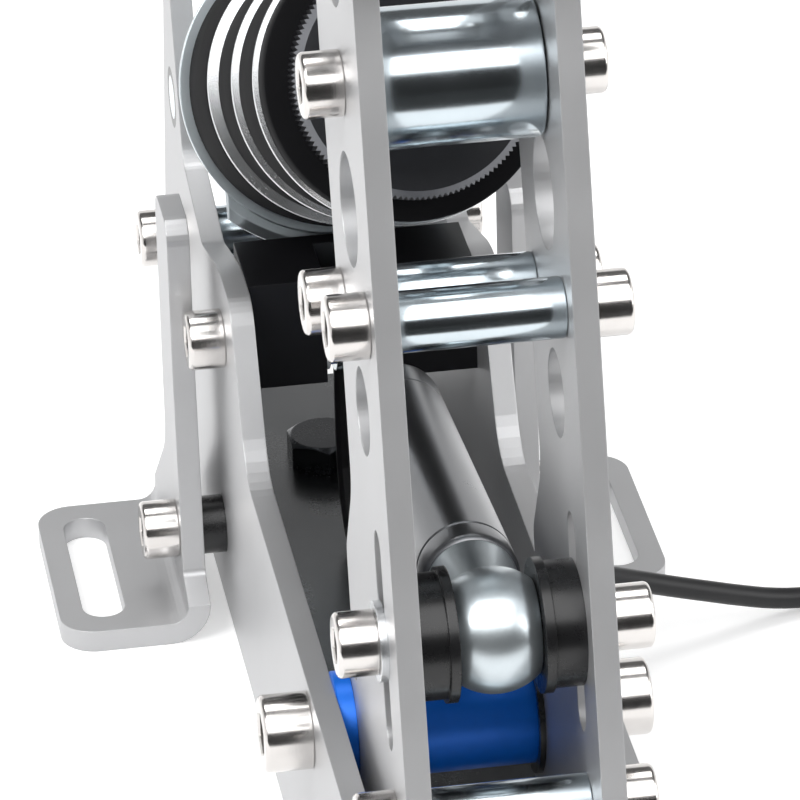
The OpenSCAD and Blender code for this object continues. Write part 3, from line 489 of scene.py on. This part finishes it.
# %% [markdown]
# The screws are the brightest things in the picture: satin heads with a rounded rim, a fine
# lathe sheen and a hexagon socket. A head's rings run from the shank's tip, out under the
# head, over its rim and down into the socket, whose radius follows a hexagon.

# %% Cap screws
SIDES = 48


def hexagon(width, turn=0):
    """Radii of a hexagon of that width across flats, one for each side of a ring."""
    step = pi / 3
    return [width / 2 / cos((2 * pi * k / SIDES + turn) % step - step / 2)
            for k in range(SIDES)]


def cap_screw(place, side, reach, r, head_r, head_h, socket, depth):
    """A screw seated at place, its head pointing along X to that side."""
    rim = 1.0
    arc = [(head_h - rim + rim * sin(a), head_r - rim + rim * cos(a))
           for a in [radians(15 * i) for i in range(7)]]
    rings = [(-reach, AXIS), (-reach, r - 0.6), (-reach + 0.6, r), (0, r), (0, head_r - 0.25),
             (0.25, head_r)]
    rings += arc
    rings += [(head_h, [h + 0.5 for h in hexagon(socket)]), (head_h - 0.35, hexagon(socket)),
              (head_h - depth, hexagon(socket)), (head_h - depth - 0.9, AXIS)]
    return turned(rings, SIDES, place, (side, 0, 0))


def screws(name, places, body, **sizes):
    """A screw on both sides at each place: (seat, point, reach)."""
    parts = []
    for seat, point, reach in places:
        for side in (-1, 1):
            parts.append(cap_screw((side * seat, point.y, point.z), side, reach, **sizes))
    return make_piece(name + "_turned", parts, body, [name], POLISHED)


M8 = dict(r=4, head_r=6.5, head_h=8, socket=6, depth=4.5)
M10 = dict(r=5, head_r=8, head_h=10, socket=8, depth=4.5)
LOW_SCREW = Vector((0, 218 - FRAME_HALF, 20))
EAR_SCREW = Vector((0, 281 - FRAME_HALF, 61))
FACE_SCREWS_AT = [(-63, 190), (-63, 220)]
FLANGE_OUT = 40.5
EAR_WASHER = 1.5
DAMPER_WASHER = 1.6

frame_places = [(FRAME_OUT, BLOCK, 29.8), (FLANGE_OUT, LOW_SCREW, 15.3),
                (FRAME_OUT + EAR_WASHER, EAR_SCREW, 19)]
arm_places = [(ARM_OUT, on_arm(*p), 17) for p in SPACERS_AT + [BAR_AT]]
arm_places += [(ARM_OUT, on_arm(*p), 11) for p in FACE_SCREWS_AT]
damper_places = [(ARM_OUT + DAMPER_WASHER, EYE, 22.9)]
pivot_places = [(FRAME_OUT, PIVOT, 19)]
screws("frame_screws", frame_places, "frame", **M8)
screws("arm_screws", arm_places, "arm", **M8)
screws("damper_screws", damper_places, "arm", **M8)
screws("pivot_screws", pivot_places, "frame", **M10)
print("screws", 2 * sum(map(len, (frame_places, arm_places, damper_places, pivot_places))))

# %% [markdown]
# Spacers and the thick cross bar are zinc-plated bar stock with a small chamfer. The pivot
# tube is made the same way, of blue anodised aluminium.


# %% Bars and spacers
def bars(name, places, body, r, bore, half, material=None, edge=0.5):
    """Turned bars across the pedal, from -half to half at each place."""
    parts = [turned(bevelled_tube(-half, half, r, bore, edge), 64, p, (1, 0, 0)) for p in places]
    return make_piece(name + "_turned", parts, body, [name], material or ZINC)


SPACER_R = 6
SPACER_BORE = 4.1
BAR_R = 13.75
BAR_BORE = 4.25
TUBE_R = 11.4
TUBE_BORE = 5.1
FACE_GAP = 0.2

bars("frame_spacer", [EAR_SCREW], "frame", SPACER_R, SPACER_BORE, FRAME_IN)
bars("arm_spacers", [on_arm(*p) for p in SPACERS_AT], "arm", SPACER_R, SPACER_BORE, ARM_IN)
bars("cross_bar", [BAR], "rod_unit", BAR_R, BAR_BORE, ARM_IN - FACE_GAP, edge=0.9)
bars("pivot_tube", [PIVOT], "frame", TUBE_R, TUBE_BORE, FRAME_IN,
     BLUE_ANODISED)
print("bars", 2 + len(SPACERS_AT), "and the pivot tube")

# %% [markdown]
# The hex bolt in the floor plate has a head whose chamfer cuts the corners lower than the
# middle of its flats, and one corner points to the front.

# %% Floor bolt
FLOOR_TOP = 7
BOLT = Vector((0, 268 - FRAME_HALF, FLOOR_TOP))
BOLT_R = 4
BOLT_WIDTH = 16
BOLT_H = 6.4
BOLT_TIP = 0.4 - FLOOR_TOP


def hex_head(width, height):
    """Rings of a hexagon head whose corners are rounded off at the top."""
    corners = hexagon(width, pi / 6)
    drop = [height - 0.55 * (r - width / 2) - 0.3 for r in corners]
    return [(0, corners), (drop, corners), (height, [min(r, width / 2) - 0.4 for r in corners])]


bolt_rings = [(BOLT_TIP, AXIS), (BOLT_TIP, BOLT_R - 0.4), (BOLT_TIP + 0.4, BOLT_R), (0, BOLT_R)]
bolt_rings += hex_head(BOLT_WIDTH, BOLT_H) + [(BOLT_H, AXIS)]
make_piece("floor_bolt_turned", [turned(bolt_rings, SIDES, BOLT, (0, 0, 1))], "frame",
           ["floor_bolt"], BOLT_STEEL, smooth=30)
print("bolt made")

# %% [markdown]
# The preload dial is turned by hand, so its rim has fine saw teeth. A chamfer cuts them at the
# front: on a cone, a tooth's tip lies deeper than its root, so the ring's distances along
# the axis alternate like its radii. The cut edge has a lighter grey finish than the face.

# %% Preload dial
DIAL_START = 50
DIAL_T = 10.9
DIAL_R = 24.8
ROD_R = 6
TEETH = 136
TOOTH_DEPTH = 0.75
CHAMFER = 1.1


def alternate(even, odd):
    """Two values by turns, two points a tooth."""
    return [odd if k % 2 else even for k in range(2 * TEETH)]


def dial_rings():
    """Rings of the dial: its rear face, the teeth, its front face and the bore."""
    start = DIAL_START
    end = DIAL_START + DIAL_T
    root = DIAL_R - TOOTH_DEPTH
    teeth = alternate(DIAL_R, root)
    deep = CHAMFER + TOOTH_DEPTH
    bore = ROD_R + 0.05
    return [
        (start, bore + 0.4), (start, root - CHAMFER),
        (alternate(start + deep, start + CHAMFER), teeth),
        (alternate(end - deep, end - CHAMFER), teeth), (end, root - CHAMFER), (end, bore + 0.4),
        (end - 0.4, bore), (start + 0.4, bore),
    ]


dial = make_piece("dial_knurled", [turned(dial_rings(), 2 * TEETH, BAR, STACK_ALONG)], "dial",
                  ["preload_dial"], DIAL_BLACK, smooth=12)
dial.data.materials.append(DIAL_EDGE)
for face in dial.data.polygons[2 * TEETH:4 * TEETH]:
    face.material_index = 1
print("dial with", TEETH, "teeth")

# %% [markdown]
# The rubber discs are the spring. Each swells very slightly between its steel washers and has
# a moulded round edge. Pressing the pedal shortens all three by the same amount.

# %% Rubber discs
DISC_RADII = [29.2, 29.2, 31.4]
DISC_T = 37.2
DISC_PITCH = 39.3
FIRST_DISC = 73.8
DISC_BODIES = ["rod_unit", "washer_unit_1", "load_unit"]


def disc_rings(start, outer):
    """Rings of a moulded disc that is widest at the middle of its length."""
    end = start + DISC_T
    edge = 1.3
    swell = 0.35
    rings = [(start, ROD_R + 0.6), (start, outer - edge - swell)]
    for i in range(1, 6):
        a = radians(15 * i)
        rings.append((start + edge - edge * cos(a), outer - swell - edge + edge * sin(a)))
    for i in range(13):
        t = i / 12
        rings.append((start + edge + (DISC_T - 2 * edge) * t, outer - swell + swell * sin(pi * t)))
    for i in range(5, 0, -1):
        a = radians(15 * i)
        rings.append((end - edge + edge * cos(a), outer - swell - edge + edge * sin(a)))
    rings += [(end, outer - edge - swell), (end, ROD_R + 0.6)]
    return rings


for i, body in enumerate(DISC_BODIES):
    start = FIRST_DISC + DISC_PITCH * i
    part = turned(disc_rings(start, DISC_RADII[i]), 96, BAR, STACK_ALONG)
    disc = make_piece(f"rubber_{i + 1}", [part], body, [f"rubber_disc_{i + 1}"],
                      RUBBER, smooth=40)
    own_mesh(disc)

# %% [markdown]
# The pressure plate and the washers are turned too. Round chamfers on the steel washers are
# what draws the thin bright lines round the black stack.


# %% Stack hardware
def stack_piece(name, rings, body, material, sides=128):
    """A turned piece on the push rod's axis that stands for one node."""
    part = turned(rings, sides, BAR, STACK_ALONG)
    return make_piece(name + "_turned", [part], body, [name], material)


PLATE_START = 61
PLATE_T = 11
PLATE_R = 29.2
plate_rings = bevelled_tube(PLATE_START, PLATE_START + PLATE_T, PLATE_R, ROD_R, 0.7)
stack_piece("pressure_plate", plate_rings, "rod_unit", MATT_BLACK)
WASHER_T = 1.5
SLIDE_GAP = 0.05
WASHERS = [("front_washer", 72, 30.2, ROD_R, "rod_unit"),
           ("middle_washer_1", 111.3, 30.2, ROD_R + SLIDE_GAP, "washer_unit_1"),
           ("middle_washer_2", 150.6, 31, ROD_R + SLIDE_GAP, "washer_unit_2")]
for name, start, r, bore, body in WASHERS:
    washer_rings = bevelled_tube(start, start + WASHER_T, r, bore, 0.35)
    stack_piece(name, washer_rings, body, ZINC_DISC)
print("pressure plate and", len(WASHERS), "washers")

# %% [markdown]
# The damper is a slim black cylinder. A rolled rim and a groove at its front end, and the seam
# of the domed cap at its other end, are what shows that it is several pieces.

# %% Damper
BODY_START = 24
BODY_END = 113
CAP_END = 125.5
BODY_R = 10
INNER_R = 8.2
ROD_BORE = 4.05
DOME = 4
GROOVE = BODY_START + 7.5
damper_tube = [
    (BODY_START, AXIS), (BODY_START, BODY_R - 1.4), (BODY_START + 0.3, BODY_R - 0.7),
    (BODY_START + 0.9, BODY_R - 0.2), (BODY_START + 1.7, BODY_R), (GROOVE - 0.5, BODY_R),
    (GROOVE - 0.25, BODY_R - 0.25), (GROOVE + 0.25, BODY_R - 0.25), (GROOVE + 0.5, BODY_R),
    (BODY_END - 0.4, BODY_R), (BODY_END, BODY_R - 0.35), (BODY_END, INNER_R),
    (BODY_START + 5, INNER_R), (BODY_START + 5, AXIS),
]
damper_cap = [(BODY_END, ROD_BORE), (BODY_END, BODY_R - 0.4), (BODY_END + 0.4, BODY_R - 0.05),
              (CAP_END - DOME, BODY_R)]
damper_cap += [(CAP_END - DOME + DOME * sin(radians(a)), BODY_R - DOME + DOME * cos(radians(a)))
               for a in range(15, 91, 15)]
damper_cap += [(CAP_END, ROD_BORE + 0.55), (CAP_END - 0.5, ROD_BORE)]
make_piece("damper_tube_turned", [turned(damper_tube, 96, EYE, DAMPER_ALONG)], "damper_body_unit",
           ["damper_body"], DAMPER_BLACK)
make_piece("damper_cap_turned", [turned(damper_cap, 96, EYE, DAMPER_ALONG)], "damper_body_unit",
           ["damper_cap"], DAMPER_BLACK)
print("damper", round(CAP_END - BODY_START, 1), "mm long without its eyes")

# %% [markdown]
# A plain studio: a pale floor that keeps the shadow meets a white background. The Light Path
# node lets the world be white to the camera and to mirror rays, and dimmer as a lamp.


# %% Floor and background
FLOOR_GLOW = 0.42
FLOOR_GREY = 0.8
FLOOR_ROUGH = 0.9
WORLD_LIGHT = 0.5
WORLD_SEEN = 1.0


def floor_material():
    """Pale paper that also glows a little for the camera and for mirror rays."""
    material = bpy.data.materials.new("pale_floor")
    material.use_nodes = True
    tree = material.node_tree
    tree.nodes.clear()
    output = add(tree, "ShaderNodeOutputMaterial")
    paper = add(tree, "ShaderNodeBsdfPrincipled", Roughness=FLOOR_ROUGH)
    paper.inputs["Base Color"].default_value = (FLOOR_GREY, FLOOR_GREY, FLOOR_GREY, 1)
    glow = add(tree, "ShaderNodeEmission")
    rays = add(tree, "ShaderNodeLightPath")
    mix = add(tree, "ShaderNodeAddShader")
    amount = add(tree, "ShaderNodeMath", operation="MULTIPLY")
    amount.inputs[1].default_value = FLOOR_GLOW
    either = add(tree, "ShaderNodeMath", operation="MAXIMUM")
    tree.links.new(rays.outputs["Is Camera Ray"], either.inputs[0])
    tree.links.new(rays.outputs["Is Glossy Ray"], either.inputs[1])
    tree.links.new(either.outputs[0], amount.inputs[0])
    tree.links.new(amount.outputs[0], glow.inputs["Strength"])
    tree.links.new(paper.outputs["BSDF"], mix.inputs[0])
    tree.links.new(glow.outputs["Emission"], mix.inputs[1])
    tree.links.new(mix.outputs["Shader"], output.inputs["Surface"])
    return material


FLOOR_HALF = 4
floor_corners = [(x * FLOOR_HALF, y * FLOOR_HALF, 0)
                 for x, y in [(-1, -1), (1, -1), (1, 1), (-1, 1)]]
floor_mesh = bpy.data.meshes.new("floor")
floor_mesh.from_pydata(floor_corners, [], [(0, 1, 2, 3)])
floor = bpy.data.objects.new("floor", floor_mesh)
bpy.context.collection.objects.link(floor)
floor_mesh.materials.append(floor_material())

world = bpy.data.worlds.new("studio")
bpy.context.scene.world = world
world.use_nodes = True
tree = world.node_tree
tree.nodes.clear()
world_out = add(tree, "ShaderNodeOutputWorld")
sky = add(tree, "ShaderNodeBackground")
sky.inputs["Color"].default_value = (1, 1, 1, 1)
rays = add(tree, "ShaderNodeLightPath")
seen = add(tree, "ShaderNodeMath", operation="MAXIMUM")
seen_all = add(tree, "ShaderNodeMath", operation="MAXIMUM")
strength = add(tree, "ShaderNodeMapRange")
strength.inputs["To Min"].default_value = WORLD_LIGHT
strength.inputs["To Max"].default_value = WORLD_SEEN
tree.links.new(rays.outputs["Is Camera Ray"], seen.inputs[0])
tree.links.new(rays.outputs["Is Transmission Ray"], seen.inputs[1])
tree.links.new(seen.outputs[0], seen_all.inputs[0])
tree.links.new(rays.outputs["Is Glossy Ray"], seen_all.inputs[1])
tree.links.new(seen_all.outputs[0], strength.inputs["Value"])
tree.links.new(strength.outputs["Result"], sky.inputs["Strength"])
tree.links.new(sky.outputs["Background"], world_out.inputs["Surface"])
print("floor and world made")

# %% [markdown]
# Bright metal shows what it mirrors. In the photograph the bars have a white band from a wide
# lamp above the camera, then a dark band from the dim room round the camera and the far part
# of the table, and their tops mirror a dim ceiling. Four cards stand there for mirror rays
# alone: they cast no shadow and neither give nor take light otherwise.

# %% Cards for the mirror bands
CARD_Y = -1.9
TABLE_END = -0.4
CARD_TOP = 1.2
CARD_HALF = 2.6
BOX_BACK = (-0.25, 2.0)
BOX_HALF = 1.1
CEILING_END = (2.4, 1.1)


def card(name, glow, corners):
    """A flat card that only mirror rays see."""
    material = bpy.data.materials.new(name)
    material.use_nodes = True
    tree = material.node_tree
    tree.nodes.clear()
    output = add(tree, "ShaderNodeOutputMaterial")
    light = add(tree, "ShaderNodeEmission", Strength=glow)
    tree.links.new(light.outputs["Emission"], output.inputs["Surface"])
    mesh = bpy.data.meshes.new(name)
    mesh.from_pydata(corners, [], [(0, 1, 2, 3)])
    mesh.materials.append(material)
    flat = bpy.data.objects.new(name, mesh)
    bpy.context.collection.objects.link(flat)
    flat.visible_camera = False
    flat.visible_diffuse = False
    flat.visible_shadow = False
    return flat


def band(half, near, far):
    """Corners of a card across the picture, between two (y, z) edges."""
    return [(-half, *near), (half, *near), (half, *far), (-half, *far)]


card("room_card", 0.03, band(CARD_HALF, (CARD_Y, 0.001), (CARD_Y, CARD_TOP)))
card("table_card", 0.05, band(CARD_HALF, (TABLE_END, 0.001), (CARD_Y, 0.001)))
card("bright_card", 2.9, band(BOX_HALF, (CARD_Y, CARD_TOP + 0.01), BOX_BACK))
card("ceiling_card", 0.12, band(CARD_HALF, (BOX_BACK[0] + 0.05, BOX_BACK[1] + 0.05), CEILING_END))
print("cards", 4)

# %% [markdown]
# Three large area lamps give soft shadows: the key lamp from the front left, a weaker one from
# the right, and one above and behind that draws the upper edges.


# %% Lamps
def soft_lamp(name, place, aim, size, power):
    """An area lamp of a width and a height that looks at a point."""
    data = bpy.data.lights.new(name, "AREA")
    data.shape = "RECTANGLE"
    data.size = size[0]
    data.size_y = size[1]
    data.energy = power
    lamp = bpy.data.objects.new(name, data)
    way = (Vector(aim) - Vector(place)).normalized()
    lamp.matrix_world = (Matrix.Translation(Vector(place))
                         @ Vector((0, 0, -1)).rotation_difference(way).to_matrix().to_4x4())
    bpy.context.collection.objects.link(lamp)
    return lamp


AIM = (0, 0, 0.12)
soft_lamp("key", (-0.9, -0.7, 1.3), AIM, (0.8, 0.8), 14)
soft_lamp("fill", (1.3, -0.6, 0.7), AIM, (0.7, 1.0), 7)
soft_lamp("top", (0.0, 0.5, 1.5), AIM, (1.2, 0.6), 9)
bpy.context.scene.view_settings.view_transform = "Standard"
print("lamps", 3)
